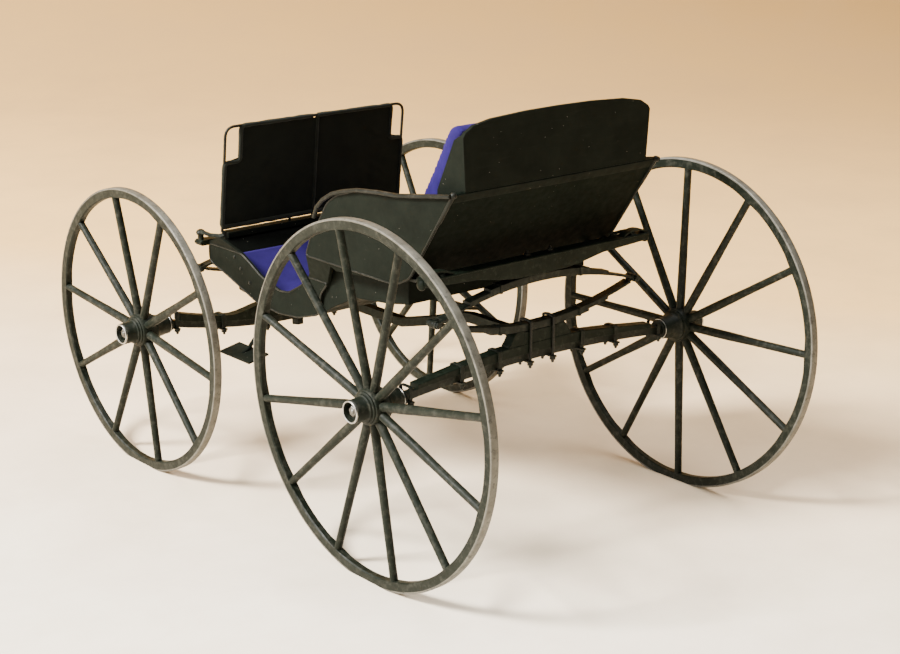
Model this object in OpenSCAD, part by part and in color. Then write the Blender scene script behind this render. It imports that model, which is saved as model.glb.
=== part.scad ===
// Light one-seat buggy on two elliptic springs, as a hand-built 1:8 scale model.
// Front is -Y, +X is the carriage's left, +Z is up. The floor under the wheels is z = 0.

/* [Wheels] */
// Radius of the rear wheels over their tyres
rear_r = 70; // [62:1:84]
// Radius of the front wheels over their tyres
front_r = 61.7; // [54:0.1:74]
// Spokes in each rear wheel
rear_spokes = 12; // [10:1:14]
// Spokes in each front wheel
front_spokes = 10; // [8:1:12]
// Width of the rims and tyres
rim_w = 3.5; // [3:0.1:4.2]
// Depth of the wooden felloe
felloe_d = 3.4; // [2.8:0.1:4.2]
// Thickness of the iron tyre
tyre_t = 0.8; // [0.5:0.1:1.2]
// Radius of a spoke at its foot
spoke_foot_r = 1.55; // [1.3:0.05:1.65]
// Radius of a spoke at its tip
spoke_tip_r = 1.3; // [1:0.05:1.5]
// Lean of the wheels with their tops outwards, in degrees
camber = 1.3; // [0:0.1:3]
// How far the spokes' feet lie inside the middle plane of the rim
dish = 2; // [0:0.1:3]
// Turn of the rear left wheel at rest, in degrees
rear_left_phase = 12; // [-15:1:15]
// Turn of the rear right wheel at rest, in degrees
rear_right_phase = -2; // [-15:1:15]
// Turn of the front left wheel at rest, in degrees
front_left_phase = 11; // [-18:1:18]
// Turn of the front right wheel at rest, in degrees
front_right_phase = 5; // [-18:1:18]

/* [Hubs] */
// Radius of the hub where the spokes stand
hub_r = 7; // [6.5:0.1:7.5]
// Reach of the hub inside the middle plane of the rim
hub_in = 14.7; // [13:0.1:16]
// Reach of the hub outside the middle plane of the rim
hub_out = 8.3; // [7.5:0.1:9.5]
// Outer radius of the bands at the hub's ends
band_r = 4.6; // [4.4:0.1:5]
// Radius of the round arms that the wheels turn on
spindle_r = 2.2; // [2:0.1:2.5]
// Running clearance round each arm
running = 0.08; // [0.05:0.01:0.1]

/* [Running gear] */
// Distance between the two axles
wheelbase = 159; // [148:1:190]
// Distance from the middle line to the middle of a rim
half_track = 84; // [80:1:98]
// Height and width of the iron axle bars
axle_bar = 3; // [2.6:0.1:3.6]
// Rise of the rear axle's middle over its ends
rear_arch = 3.7; // [0:0.1:5]
// Drop of the front axle's middle under its ends
front_drop = 8.5; // [0:0.1:10]
// Depth of the rear axle bed at its middle
rear_bed_h = 4; // [3:0.1:5]
// Depth of the front axle bed at its middle
front_bed_h = 8; // [5:0.1:9]
// Width of the wooden beds, crossbars and blocks
bed_w = 5; // [4:0.1:6]
// Half length of the springs, from the middle to an eye
spring_half = 52.4; // [48:0.2:58]
// Rise of the rear spring's halves from their eyes
rear_spring_rise = 8.6; // [7:0.1:11]
// Rise of the front spring's halves from their eyes
front_spring_rise = 7; // [5.5:0.1:9]
// Thickness of a spring leaf
leaf_t = 1; // [0.8:0.1:1.2]
// Width of the spring leaves
leaf_w = 4.4; // [4:0.1:5]
// Radius of the fifth wheel's two plates
fifth_r = 15; // [12:0.5:18]
// Radius of the king pin
king_r = 1.5; // [1.2:0.1:1.8]
// Gap between the fifth wheel's plates
fifth_gap = 0.1; // [0.05:0.05:0.2]

/* [Body] */
// Width of the low body over its sides
body_w = 96; // [88:1:106]
// How far the seat's sides flare out over the low body on each side
flare = 5; // [2:0.5:7]
// Thickness of the wooden panels
panel_t = 1.5; // [1.2:0.1:2]
// Height of the seat's side panels over the seat board
seat_side_h = 36.3; // [31:0.1:42]
// Thickness of the seat cushion
cushion_h = 10; // [7:0.5:13]
// Height of the backrest over the seat's rear panel
back_h = 22.5; // [18:0.5:28]
// Height of the dash over its foot
dash_h = 45.4; // [38:0.2:54]
// Lean of the dash towards the seat, in degrees
dash_lean = 6; // [0:0.5:12]
// Radius of the dash's frame rods
rod_r = 1.1; // [0.9:0.1:1.3]
// Radius of the seat's arm rails
rail_r = 0.9; // [0.7:0.1:1.1]
// Height of the steps over the floor
step_z = 56.9; // [48:0.1:62]

/* [Hidden] */
$fn = 48;
clear = 0.3;
overrun = 2;

// Axle places: the wheels' outer edges lie evenly about y = 0.
rear_y = (wheelbase + front_r - rear_r) / 2;
front_y = rear_y - wheelbase;
function hub_z(r) = r * cos(camber) + rim_w / 2 * sin(camber);

// The hub's inner end, where the axle bar meets the round arm.
arm_root = 1.2;
bar_half = half_track - hub_in - arm_root;
function arm_z(r) = hub_z(r) + (hub_in + arm_root) * sin(camber);

// Heights stacked from the axles to the body. The taller of the two stacks sets the ride height.
leaves = 3;
bed_seat = axle_bar / 2;
rear_bed_top = arm_z(rear_r) + rear_arch + bed_seat + rear_bed_h;
front_bed_top = arm_z(front_r) - front_drop + bed_seat + front_bed_h;
plate_t = 1.2;
stack = (leaves - 0.5) * leaf_t;
rear_block_min = 4.9;
head_block_min = 9;
rear_eye_need = rear_bed_top + rear_block_min + stack + rear_spring_rise;
front_eye_need = front_bed_top + 2 * plate_t + fifth_gap + head_block_min + stack + front_spring_rise;
eye_drop = 11.5;
rear_eye_z = max(rear_eye_need, front_eye_need + eye_drop);
front_eye_z = rear_eye_z - eye_drop;
rear_bar_z = rear_eye_z + rear_spring_rise + stack;
front_bar_z = front_eye_z + front_spring_rise + stack;
rear_bar_h = 4.2;
front_bar_h = 2.6;

// The body's datum height, from which its outline is measured.
datum = rear_bar_z - 106.7;
half_w = body_w / 2;
seat_half = half_w + flare;
seat_z = datum + 110;
rail_z = seat_z + seat_side_h;
back_y = rear_y + 10.5;
dash_y = front_y + 12.7;
dash_z = datum + 102.6;
seat_front = rear_y - 69;

// Outline points: f() is measured back from the front axle, r() forward from the rear one.
function f(d, z) = [front_y + d, datum + z];
function r(d, z) = [rear_y - d, datum + z];
// The same for the seat's top edge, measured down from its rear corner.
function rail(d, drop) = [rear_y - d, rail_z - drop];

boat_bottom = [f(bed_w / 2, 88.2), f(3.6, 86.8), f(14, 84), f(24.6, 80.5), f(37.2, 76.3),
    f(53.3, 74.9), r(91.7, 76.3), r(77.7, 80.5), r(76.3, 89.6), r(70.7, 95.9)];
boat_top = [r(64.6, 130), r(69.6, 122.3), r(75.6, 114), r(79.5, 105), r(82.4, 97.3), r(89.4, 90.3),
    r(98.4, 85.4), r(105.4, 84.7), f(40.6, 88.2), f(32.6, 92.4), f(24.6, 96), f(13.6, 100),
        f(bed_w / 2, 95.8)];
seat_under = [r(63.7, 104.5), r(60.9, 102.9), r(41.4, 105), r(21.4, 106.4), r(14, 110)];

function heading(pts, i) =
    let (a = pts[max(i - 1, 0)], b = pts[min(i + 1, len(pts) - 1)])
    (b - a) / norm(b - a);

// One ring of a rod's skin. The rod's route lies in the plane that has this normal.
function rod_ring(pts, i, radius, normal, sides) =
    let (v = cross(heading(pts, i), normal))
    [for (k = [0:sides - 1]) pts[i] + radius * (cos(360 * k / sides) * normal + sin(360 * k / sides) * v)];

// ---- helpers -------------------------------------------------------------------------------

// Stands a drawing of (x, z) points up and gives it a width along Y.
module cross_section(width, y) {
    translate([0, y, 0]) rotate([90, 0, 0]) linear_extrude(width, center = true) children();
}

// Gives a drawing of (y, z) points a width along X, starting at x.
module side_section(x, width) {
    translate([x, 0, 0]) rotate([90, 0, 90]) linear_extrude(width) children();
}

module rod(pts, radius, normal, sides = 10) {
    last = len(pts) - 1;
    skin = [for (i = [0:last]) each rod_ring(pts, i, radius, normal, sides)];
    walls = [for (i = [0:last - 1], k = [0:sides - 1])
        let (a = i * sides + k, b = i * sides + (k + 1) % sides)
        each [[a, b + sides, b], [a, a + sides, b + sides]]];
    caps = [[for (k = [0:sides - 1]) k], [for (k = [sides - 1:-1:0]) last * sides + k]];
    polyhedron(skin, concat(walls, caps));
}

// Puts a wheel part, drawn round Z with the outside up, on the end of an axle.
module on_axle(side, y, radius) {
    translate([side * half_track, y, hub_z(radius)]) rotate([0, side * (90 + camber), 0]) children();
}

// ---- wheels --------------------------------------------------------------------------------

module ring(outer, inner, width) {
    rotate_extrude($fn = 120) translate([inner, -width / 2]) square([outer - inner, width]);
}

module tyre(radius) {
    color([0.42, 0.41, 0.38]) ring(radius, radius - tyre_t, rim_w);
}

module felloe(radius) {
    color([0.1, 0.1, 0.08]) ring(radius - tyre_t, radius - tyre_t - felloe_d, rim_w - 0.2);
}

module spokes(radius, count, phase) {
    inner = radius - tyre_t - felloe_d;
    reach_out = inner - hub_r + 2 * overrun;
    tilt = atan(dish / (inner - hub_r));
    color([0.1, 0.1, 0.08]) for (i = [0:count - 1]) rotate([0, 0, phase + i * 360 / count]) intersection() {
        rotate([0, 0, 90]) ring(inner, hub_r, 4 * hub_r);
        translate([hub_r - overrun, 0, -dish])
            rotate([0, 90 - tilt, 0]) cylinder(h = reach_out, r1 = spoke_foot_r, r2 = spoke_tip_r,
                $fn = 24);
    }
}

band_w = 1.6;
band_t = 0.6;
nut_recess = 2.2;
recess_r = 3.2;

module hub() {
    seat_r = band_r - band_t;
    bore_r = spindle_r + running;
    color([0.1, 0.1, 0.08]) rotate_extrude($fn = 48) polygon([
        [bore_r, -hub_in], [seat_r, -hub_in], [seat_r, -hub_in + band_w], [band_r + 0.5, -hub_in + band_w],
        [hub_r - 0.6, -dish - 3.6], [hub_r, -dish - 2.6], [hub_r, -dish + 2.6], [hub_r - 0.8, -dish + 3.6],
        [band_r, hub_out - band_w], [seat_r, hub_out - band_w], [seat_r, hub_out], [recess_r, hub_out],
        [recess_r, hub_out - nut_recess], [bore_r, hub_out - nut_recess]]);
}

module bands() {
    color([0.75, 0.75, 0.72]) for (z = [-hub_in + band_w / 2, hub_out - band_w / 2]) {
        translate([0, 0, z]) ring(band_r, band_r - band_t, band_w);
    }
}

// ---- axles ---------------------------------------------------------------------------------

function bar_z(x, middle) = middle * (1 - pow(x / bar_half, 2));

function bar_outline(half, low, high, middle, steps = 16) = concat(
    [for (i = [0:steps]) let (x = -half + 2 * half * i / steps) [x, bar_z(x, middle) + low]],
    [for (i = [steps:-1:0]) let (x = -half + 2 * half * i / steps) [x, bar_z(x, middle) + high]]);

// A bed on the bar: flat on top over the middle, deep there and thin from a shoulder to the ends.
module bed(half, deep, thin, middle, flat, shoulder, steps = 32) {
    difference() {
        polygon(concat(
            [for (i = [0:steps]) let (x = -half + 2 * half * i / steps) [x, bar_z(x, middle)]],
            [for (i = [steps:-1:0])
                let (x = -half + 2 * half * i / steps, past = max(0, abs(x) - flat))
                let (fall = min(1, past / (shoulder - flat)), ease = fall * fall * (3 - 2 * fall))
                [x, bar_z(past * bar_half / (bar_half - flat),
                    middle) + bed_seat + deep - (deep - thin) * ease]]));
        polygon(bar_outline(bar_half, -2 * bed_seat, bed_seat, middle));
    }
}

collar_r = 3.6;

module axle(y, radius, middle) {
    color([0.12, 0.12, 0.1]) {
        translate([0, 0, arm_z(radius)]) cross_section(axle_bar, y) polygon(bar_outline(bar_half,
            -bed_seat, bed_seat, middle));
        for (side = [-1, 1]) on_axle(side, y, radius) {
            translate([0, 0, -hub_in - arm_root]) cylinder(h = arm_root - 0.15, r = collar_r);
            translate([0, 0, -hub_in - arm_root]) cylinder(h = hub_in + arm_root
                + hub_out - nut_recess + 0.1, r = spindle_r);
        }
    }
}

module axle_nuts(y, radius) {
    color([0.8, 0.8, 0.78]) for (side = [-1, 1]) on_axle(side, y, radius)
        translate([0, 0, hub_out - nut_recess + 0.1]) cylinder(h = nut_recess - 0.3, r = 2.6, $fn = 6);
}

module rear_axle() {
    axle(rear_y, rear_r, rear_arch);
}

module rear_axle_bed() {
    color([0.1, 0.1, 0.08]) translate([0, 0, arm_z(rear_r)])
        cross_section(bed_w, rear_y) bed(bar_half - 6, rear_bed_h, 2, rear_arch, block_half + 1,
            bar_half - 6);
}

// Iron left round the king pin's hole in the front axle bar.
king_boss = 1.6;
module front_axle() {
    difference() {
        union() {
            axle(front_y, front_r, -front_drop);
            color([0.12, 0.12, 0.1]) translate([0, front_y, arm_z(front_r) - front_drop - bed_seat])
                cylinder(h = axle_bar, r = king_r + king_boss);
        }
        translate([0, front_y, 0]) cylinder(h = 2 * front_r, r = king_r + running);
    }
}

module front_axle_bed() {
    color([0.1, 0.1, 0.08]) difference() {
        translate([0, 0, arm_z(front_r)])
            cross_section(bed_w, front_y) bed(bar_half - 4, front_bed_h, 3.9, -front_drop, fifth_r + 2,
                fifth_r + 24);
        translate([0, front_y, 0]) cylinder(h = 2 * front_r, r = king_r + running);
    }
}

module fifth_plate(z, hole_r) {
    color([0.12, 0.12, 0.1]) translate([0, front_y, z]) difference() {
        union() {
            difference() {
                cylinder(h = plate_t, r = fifth_r);
                translate([0, 0, -1]) cylinder(h = plate_t + 2, r = fifth_r - 3);
            }
            translate([-fifth_r + 1, -bed_w / 2, 0]) cube([2 * fifth_r - 2, bed_w, plate_t]);
        }
        translate([0, 0, -1]) cylinder(h = plate_t + 2, r = hole_r);
    }
}

module fifth_wheel_lower() {
    fifth_plate(front_bed_top, king_r + running);
}

upper_plate_z = front_bed_top + plate_t + fifth_gap;
head_z = upper_plate_z + plate_t;
front_leaf_low = front_eye_z - front_spring_rise - stack;

module fifth_wheel_upper() {
    fifth_plate(upper_plate_z, king_r);
}

head_half = 30;

// The block over the fifth wheel, with stepped ends under the spring.
module head_block() {
    top = front_leaf_low;
    color([0.1, 0.1, 0.08]) difference() {
        cross_section(bed_w, front_y) polygon([
            [-head_half + 7.6, head_z], [head_half - 7.6, head_z], [head_half - 7, head_z + 1.4],
                [head_half - 2, head_z + 2.8],
            [head_half, head_z + 4.4], [head_half, head_z + 6], [head_half - 8, head_z + 7.2],
                [block_half + 3, top], [-block_half - 3, top],
            [-head_half + 8, head_z + 7.2], [-head_half, head_z + 6], [-head_half, head_z + 4.4],
                [-head_half + 2, head_z + 2.8],
            [-head_half + 7, head_z + 1.4]]);
        translate([0, front_y, head_z - 1]) cylinder(h = top - head_z + 2, r = king_r);
    }
}

king_low = arm_z(front_r) - front_drop - bed_seat - 3;

module king_pin() {
    color([0.12, 0.12, 0.1]) translate([0, front_y, 0]) {
        translate([0, 0, king_low]) cylinder(h = front_leaf_low - king_low, r = king_r);
        translate([0, 0, king_low]) cylinder(h = 2.6, r = 2.8, $fn = 6);
    }
}

// Ears in front of the front axle, where a pair of shafts is pinned.
coupling_x = 42;
ear_t = 1.2;
ear_gap = 3;
ear_bore_r = 0.8;
ear_r = 2;
ear_y = front_y - bed_w / 2 - 3;
function ear_z() = arm_z(front_r) + bar_z(coupling_x, -front_drop);

module shaft_couplings() {
    color([0.12, 0.12, 0.1]) for (side = [-1, 1], ear = [-1, 1]) {
        translate([side * coupling_x + ear * (ear_gap + ear_t) / 2, ear_y, ear_z()]) difference() {
            union() {
                rotate([0, 90, 0]) cylinder(h = ear_t, r = ear_r, center = true);
                translate([-ear_t / 2, 0, -ear_r]) cube([ear_t, front_y - axle_bar / 2 - ear_y, 2 * ear_r]);
            }
            rotate([0, 90, 0]) cylinder(h = 2 * ear_t, r = ear_bore_r, center = true);
            translate([-ear_t, 3, bed_seat - 0.6]) cube([2 * ear_t, 9, 9]);
        }
    }
}

// ---- springs -------------------------------------------------------------------------------

eye_r = 1.6;
eye_w = 2;
bolt_r = 0.8;
fork = 2.9;
leaf_share = [1, 0.7, 0.5];

function leaf_z(x, rise) = rise * (1 - pow(x / spring_half, 2));

// The leaves of one half: each next one is shorter and lies on the outside of the one before.
module leaf_pack(rise, way, steps = 20) {
    for (k = [0:leaves - 1]) {
        half = spring_half * leaf_share[k];
        xs = [for (i = [0:steps]) spring_half * (2 * i / steps - 1)];
        inner = [for (x = xs) if (abs(x) <= half) [x, way * (leaf_z(x, rise) + (k > 0 ? 0 : -leaf_t / 2))]];
        outer = [for (i = [steps:-1:0]) if (abs(xs[i]) <= half) [xs[i], way * (leaf_z(xs[i],
            rise) + (k + 0.5) * leaf_t)]];
        polygon(concat(inner, outer));
    }
}

// One half of an elliptic spring. way is 1 for the upper half, whose eyes are forked, and -1 for the lower.
module half_spring(y, z, rise, way) {
    color([0.12, 0.12, 0.1]) translate([0, 0, z]) difference() {
        union() {
            cross_section(leaf_w, y) leaf_pack(rise, way);
            for (side = [-1, 1]) translate([side * spring_half, y, 0])
                rotate([90, 0, 0]) cylinder(h = leaf_w, r = eye_r, center = true);
        }
        for (side = [-1, 1]) translate([side * spring_half, y, 0]) {
            rotate([90, 0, 0]) cylinder(h = 2 * leaf_w, r = bolt_r, center = true);
            if (way > 0) cube([2 * fork, eye_w + 0.1, 2 * fork], center = true);
            if (way < 0) for (edge = [-1, 1])
                translate([0, edge * (eye_w / 2 + leaf_w), 0]) cube([2 * fork, 2 * leaf_w, 2 * fork],
                    center = true);
        }
    }
}

module rear_spring_lower() {
    half_spring(rear_y, rear_eye_z, rear_spring_rise, -1);
}

module rear_spring_upper() {
    half_spring(rear_y, rear_eye_z, rear_spring_rise, 1);
}

module front_spring_lower() {
    half_spring(front_y, front_eye_z, front_spring_rise, -1);
}

module front_spring_upper() {
    half_spring(front_y, front_eye_z, front_spring_rise, 1);
}

module spring_bolts() {
    color([0.2, 0.2, 0.17]) for (side = [-1, 1], end = [[front_y, front_eye_z], [rear_y, rear_eye_z]])
        translate([side * spring_half, end[0], end[1]]) rotate([90, 0, 0]) {
            cylinder(h = leaf_w + 1, r = bolt_r, center = true);
            for (way = [-1, 1]) translate([0, 0, way * (leaf_w + 1) / 2]) cylinder(h = 1, r = 1.4,
                center = true, $fn = 6);
        }
}

block_half = 9;

module rear_spring_block() {
    color([0.1, 0.1, 0.08]) translate([-block_half, rear_y - bed_w / 2, rear_bed_top])
        cube([2 * block_half, bed_w, rear_eye_z - rear_spring_rise - stack - rear_bed_top]);
}

// ---- crossbars, irons and reach ------------------------------------------------------------

rear_bar_half = seat_half + 5.8;

// A bar over a spring: deep in the middle, and tapered to a rounded end.
module crossbar(y, z, half, bulge, height, taper) {
    round_end = 0.8;
    low = z + bulge;
    high = low + height;
    side = [[block_half + 4, z], [block_half + 12, z + bulge * 0.3], [block_half + 24, low],
        [half - round_end, low + taper],
        [half, low + taper + round_end], [half, high - round_end], [half - round_end, high]];
    color([0.1, 0.1, 0.08]) cross_section(bed_w, y)
        polygon(concat(side, [for (i = [len(side) - 1:-1:0]) [-side[i][0], side[i][1]]]));
}

rear_bulge = 3;

module rear_crossbar() {
    crossbar(rear_y, rear_bar_z, rear_bar_half, rear_bulge, rear_bar_h, 1.2);
}

module front_crossbar() {
    crossbar(front_y, front_bar_z, spring_half, 0.3, front_bar_h, 0.2);
}

iron_w = 2.4;

// Irons from the rear crossbar down to the rear edge of the body: one over each end, one inside it.
module loop_irons() {
    top = rear_bar_z + rear_bulge + rear_bar_h;
    body_edge = seat_z - 0.2;
    color([0.12, 0.12, 0.1]) for (side = [-1, 1]) {
        side_section(side * (seat_half - panel_t - 0.6 * iron_w) - iron_w / 2, iron_w) polygon([
            [rear_y + bed_w / 2, top], [rear_y + 1.6, top + 1.1], [rear_y - 4, top + 1.2],
                [rear_y - 8.6, top - 0.6],
            [rear_y - 12, body_edge + 0.2], [rear_y - 13.2, body_edge], [rear_y - 18, body_edge],
                [rear_y - 18, body_edge - 1.2],
            [rear_y - 12.6, body_edge - 1.2], [rear_y - 8, top - 2], [rear_y - 4, top],
                [rear_y - bed_w / 2, top]]);
        side_section(side * (half_w - 7) - iron_w / 2, iron_w) polygon([
            [rear_y - bed_w / 2, top - 0.6], [rear_y - bed_w / 2, top - 2.2],
                [rear_y - 7, body_edge - 1.2], [rear_y - 16, body_edge - 1.2],
            [rear_y - 16, body_edge], [rear_y - 7, body_edge]]);
    }
}

reach_w = 3.6;
reach_h = 4;

// The reach runs low under the body and rises behind it to the rear bed.
module reach() {
    low = head_z;
    high = rear_bed_top - 2;
    start = front_y + bed_w / 2;
    stop = rear_y - bed_w / 2;
    under = [[start, low], [rear_y - 82, low], [rear_y - 76, low + 1.6],
        [rear_y - 65, low + 0.38 * (high - low)],
        [rear_y - 44, high - 0.8], [rear_y - 38, high], [stop, high]];
    color([0.1, 0.1, 0.08]) side_section(-reach_w / 2, reach_w)
        polygon(concat(under, [for (i = [len(under) - 1:-1:0]) under[i] + [0, reach_h]]));
}

// ---- body ----------------------------------------------------------------------------------

knee_z = datum + 95;
shoulder_z = datum + 106;

// The side panels' section: upright on the low body, then flared out to the seat's width.
module flared_sheet(inner) {
    offset_x = inner ? panel_t : 0;
    low = datum + 60;
    high = rail_z + 40;
    cross_section(4 * wheelbase, 0) polygon([
        [0, low], [half_w - offset_x, low], [half_w - offset_x, knee_z], [seat_half - offset_x, shoulder_z],
        [seat_half - offset_x, high], [0, high]]);
}

function side_outline() = concat(boat_bottom, seat_under,
    [[back_y, rail_z], rail(22, 5.8), rail(44, 7.7), rail(58.6, 12.2)], boat_top);

module side_panel(side) {
    color([0.07, 0.07, 0.06]) mirror([side < 0 ? 1 : 0, 0, 0]) difference() {
        intersection() {
            side_section(0, seat_half + overrun) polygon(side_outline());
            flared_sheet(false);
        }
        flared_sheet(true);
    }
}

// Between the side panels: a fixed span that touches both of their inner faces.
inside = half_w - panel_t;
rail_gap = 1.2;
toe_rail_h = 2.2;
floor_top = 1.8;

module floor() {
    nose = front_y + bed_w / 2;
    lower = [[nose, datum + 88.2], f(3.6, 86.8), f(14, 84), f(24.6, 80.5), f(37.2, 76.3), f(53.3, 74.9),
        r(91.7, 76.3), r(77.7, 80.5)];
    upper = [for (i = [len(lower) - 1:-1:2]) lower[i] + [0, floor_top]];
    color([0.07, 0.07, 0.06]) side_section(-inside, 2 * inside)
        polygon(concat(lower, upper, [[nose + 2, datum + 89.6], [nose + 2, front_bar_z + front_bar_h],
            [nose, front_bar_z + front_bar_h]]));
}

toe_foot = f(36, 79.4);
toe_head = [dash_y + 1, dash_z - rail_gap - toe_rail_h];

// The sloping board under the dash, with the rail that the dash stands on.
module toe_board() {
    color([0.07, 0.07, 0.06]) side_section(-inside, 2 * inside) polygon([
        toe_foot - [1.6, -0.6], toe_foot, toe_head, toe_head + [1, 0], toe_head + [1, toe_rail_h],
        toe_head + [-3.4, toe_rail_h], toe_head + [-3.4, 0], toe_head - [1.6, 0]]);
}

module seat_box() {
    under = [r(77.7 - 0.1, 80.5), r(71, 84.7), r(55, 92.4), r(48, 93.1), r(35, 94.5), r(22, 97),
        r(22, 110), r(77.7 - 0.1, 110)];
    color([0.06, 0.06, 0.055]) difference() {
        side_section(-inside, 2 * inside) polygon(under);
        side_section(-inside + panel_t, 2 * (inside - panel_t)) polygon([
            r(76.1, 84.5), r(70, 86.2), r(54, 94.2), r(48, 94.8), r(35, 96.2), r(23.5, 98.5),
                r(23.5, 120), r(76.1, 120)]);
    }
}

module seat_board() {
    color([0.07, 0.07, 0.06]) translate([-seat_half + panel_t, rear_y - 77.6, seat_z])
        cube([2 * (seat_half - panel_t), 77.6 - 15.5, panel_t]);
}

module seat_rear_panel() {
    lower = r(14, 110);
    upper = [back_y, rail_z];
    color([0.07, 0.07, 0.06]) side_section(-seat_half + panel_t, 2 * (seat_half - panel_t))
        polygon([lower, upper, upper - [2.2, 0], lower - [1.4, 0]]);
}

back_half = seat_half - 5;
back_rise = 4.3;
back_sink = 10.3;

// The board behind the cushion and the wedge in front of it, which goes down behind the cushion into the seat.
module backrest() {
    top = rail_z + back_h;
    edge = [[back_half - 2, rail_z - back_sink - 1], [back_half, top - 2.2],
        [back_half - 1.2, top - 0.6], [back_half - 5, top + back_rise - 2.7],
        [back_half - 14, top + back_rise - 1.1], [back_half * 0.35, top + back_rise - 0.2],
            [0, top + back_rise]];
    color([0.07, 0.07, 0.06]) intersection() {
        side_section(-seat_half, 2 * seat_half) polygon([
            [back_y - 16.8, rail_z - back_sink], [back_y - 9.2, rail_z - back_sink],
                [back_y - 2.4, rail_z], [back_y, rail_z],
            [back_y, top + 6], [back_y - 1.6, top + 6], [back_y - 1.8, top - 1.6],
                [back_y - 5.4, top - 3.8],
            [back_y - 16, rail_z - 1.4]]);
        cross_section(4 * wheelbase, 0)
            polygon(concat(edge, [for (i = [len(edge) - 2:-1:0]) [-edge[i][0], edge[i][1]]]));
    }
}

module seat_cushion() {
    low = seat_z + panel_t + clear;
    half = seat_half - panel_t - 1;
    color([0.22, 0.18, 0.62]) side_section(-half, 2 * half) polygon([
        [seat_front + 4, low], [rear_y - 20, low], [rear_y - 17, low + cushion_h * 0.5],
            [rear_y - 20, low + cushion_h],
        [seat_front + 5, low + cushion_h], [seat_front + 2, low + cushion_h * 0.7],
            [seat_front + 2, low + cushion_h * 0.3]]);
}

module back_cushion() {
    top = rail_z + back_h;
    low = seat_z + panel_t + cushion_h + 3;
    half = back_half - 1.2;
    color([0.22, 0.18, 0.62]) side_section(-half, 2 * half) polygon([
        [rear_y - 9.2, low], [back_y - 16.8, rail_z - 1.8], [back_y - 6.2, top - 3.6],
            [back_y - 2.4, top - 1], [back_y - 2.2, top + 0.8],
        [back_y - 8.8, top + 0.8], [back_y - 13.4, top - 3.6], [back_y - 26.6, rail_z - 5],
            [rear_y - 19.2, low + 3], [rear_y - 17, low]]);
}

module arm_rails() {
    route = [[back_y, rail_z - 0.4], rail(20, 5.4), rail(32, 6.2), rail(44, 7.5), rail(53, 9.5),
        rail(60, 11.7),
        rail(66, 15.1), rail(70, 18.7), rail(72, 23.3)];
    color([0.12, 0.12, 0.1]) for (side = [-1, 1])
        rod([for (p = route) [side * (seat_half + rail_r), p[0], p[1]]], rail_r, [1, 0, 0]);
}

// ---- dash ----------------------------------------------------------------------------------

dash_half = half_w - 0.4;
dash_round = 6;
dash_foot = 1.05;
grip_w = 6.4;
grip_drop = 14.4;
grip_round = 3;

module dash_place() {
    translate([0, dash_y, dash_z]) rotate([-dash_lean, 0, 0]) children();
}

// A quarter bend of round rod in the dash's plane, turned by angle.
module bend(x, z, radius, angle) {
    translate([x, 0, z]) rotate([90, 0, 0]) rotate([0, 0, angle])
        rotate_extrude(angle = 90) translate([radius, 0]) circle(r = rod_r, $fn = 24);
}

module post(x, low, high) {
    translate([x, 0, low]) cylinder(h = high - low, r = rod_r, $fn = 24);
}

module bar(x0, x1, z) {
    translate([x0, 0, z]) rotate([0, 90, 0]) cylinder(h = x1 - x0, r = rod_r, $fn = 24);
}

module dash_frame() {
    side = dash_half - rod_r;
    top = dash_h - rod_r;
    grip_x = side - grip_w;
    grip_z = top - grip_drop;
    color([0.1, 0.1, 0.09]) dash_place() {
        bar(-side + dash_round, side - dash_round, top);
        bar(-side, side, 1);
        post(0, -dash_foot, top);
        for (s = [-1, 1]) {
            post(s * side, -dash_foot, top - dash_round);
            bend(s * (side - dash_round), top - dash_round, dash_round, s > 0 ? 0 : 90);
            post(s * grip_x, grip_z + grip_round, top);
            bend(s * (grip_x + grip_round), grip_z + grip_round, grip_round, s > 0 ? 180 : 270);
            bar(s > 0 ? grip_x + grip_round : -side, s > 0 ? side : -grip_x - grip_round, grip_z);
        }
    }
}

module dash_cloth() {
    side = dash_half - 2 * rod_r - clear;
    top = dash_h - 2 * rod_r - clear;
    inner = rod_r + clear;
    grip_x = dash_half - 2 * rod_r - grip_w - clear;
    grip_z = dash_h - 2 * rod_r - grip_drop - clear;
    low = 1 + rod_r + clear;
    color([0.05, 0.055, 0.05]) dash_place() for (s = [-1, 1])
        cross_section(0.9, 0) polygon([[s * inner, low], [s * side, low], [s * side, grip_z],
            [s * (grip_x + grip_round), grip_z], [s * grip_x, grip_z + grip_round], [s * grip_x, top],
                [s * inner, top]]);
}

// ---- floor covering and steps --------------------------------------------------------------

carpet_t = 0.8;

// The cloth lies up the toe board to this share of its height.
carpet_up = 0.7;

module carpet() {
    half = inside - 1;
    slope = toe_head - toe_foot;
    off = [clear + 0.1, 0];
    low = [toe_foot + carpet_up * slope + off, toe_foot + 0.08 * slope + off, f(39, 78.1),
        f(53.3, 77.05), r(91.7, 78.45), r(79, 82.25)];
    color([0.22, 0.18, 0.62]) side_section(-half, 2 * half)
        polygon(concat(low, [for (i = [len(low) - 1:-1:0]) low[i] + [i < 2 ? carpet_t : 0,
            i < 2 ? 0.3 : carpet_t]]));
}

step_w = 10.2;
step_l = 21.4;
step_x = half_w + 10.3;
step_y = front_y + 42.3;
step_tilt = 11;
step_t = 0.8;

module step(side) {
    foot_z = datum + 75.7;
    stem = [[half_w - 1.6, step_y, foot_z - 0.6], [half_w - 1, step_y, foot_z - 5],
        [half_w + 3, step_y, step_z + 7],
        [half_w + 8, step_y, step_z + 1.6], [half_w + 11, step_y, step_z - 0.1]];
    color([0.1, 0.1, 0.09]) {
        translate([side * step_x, step_y, step_z]) rotate([0, side * step_tilt, 0])
            cube([step_w, step_l, step_t], center = true);
        translate([side * (half_w - 2) - 2, step_y - 2.5, foot_z - 0.9]) cube([4, 5, 0.8]);
        rod([for (p = stem) [side * p[0], p[1], p[2]]], 0.9, [0, 1, 0]);
    }
}

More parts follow.
